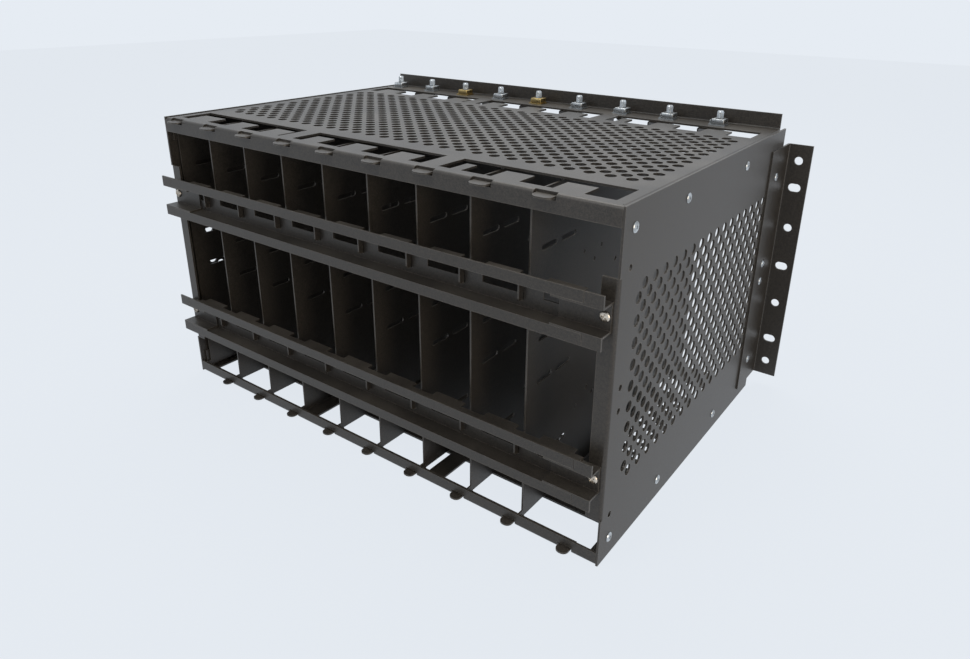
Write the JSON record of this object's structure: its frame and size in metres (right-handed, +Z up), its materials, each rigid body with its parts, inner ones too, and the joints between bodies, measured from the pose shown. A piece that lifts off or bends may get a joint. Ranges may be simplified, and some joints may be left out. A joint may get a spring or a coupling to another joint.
{
  "type": "subrack card cage",
  "caption": "Open sheet-metal subrack card cage with perforated panels, upright dividers, two front channel rails and rear rack ears.",
  "frame": {"origin": "middle of the overall box in X and Y, on the ground under the side panels", "axes": "+X to the right seen from the front, +Y from the open front to the rack ears, +Z up"},
  "size_m": [0.4826, 0.323, 0.259],
  "materials": {
    "black_coat": "fine textured black powder coat",
    "bright_zinc": "bright zinc plate",
    "yellow_zinc": "yellow zinc plate",
    "screw_steel": "bright steel"
  },
  "bodies": {
    "root": {"left_side_panel": "black_coat", "right_side_panel": "black_coat", "top_panel": "black_coat", "bottom_panel": "black_coat", "divider_1": "black_coat", "divider_2": "black_coat", "divider_3": "black_coat", "divider_4": "black_coat", "divider_5": "black_coat", "divider_6": "black_coat", "divider_7": "black_coat", "divider_8": "black_coat", "divider_9": "black_coat", "upper_rail": "black_coat", "lower_rail": "black_coat", "upper_left_bracket": "black_coat", "upper_right_bracket": "black_coat", "lower_left_bracket": "black_coat", "lower_right_bracket": "black_coat", "left_ear": "black_coat", "right_ear": "black_coat", "left_side_rivets": "bright_zinc", "right_side_rivets": "bright_zinc", "left_ear_rivets": "bright_zinc", "right_ear_rivets": "bright_zinc", "stud_screws": "bright_zinc", "zinc_stud_nuts": "bright_zinc", "yellow_stud_nuts": "yellow_zinc", "rail_end_screws": "screw_steel"}
  },
  "joints": []
}
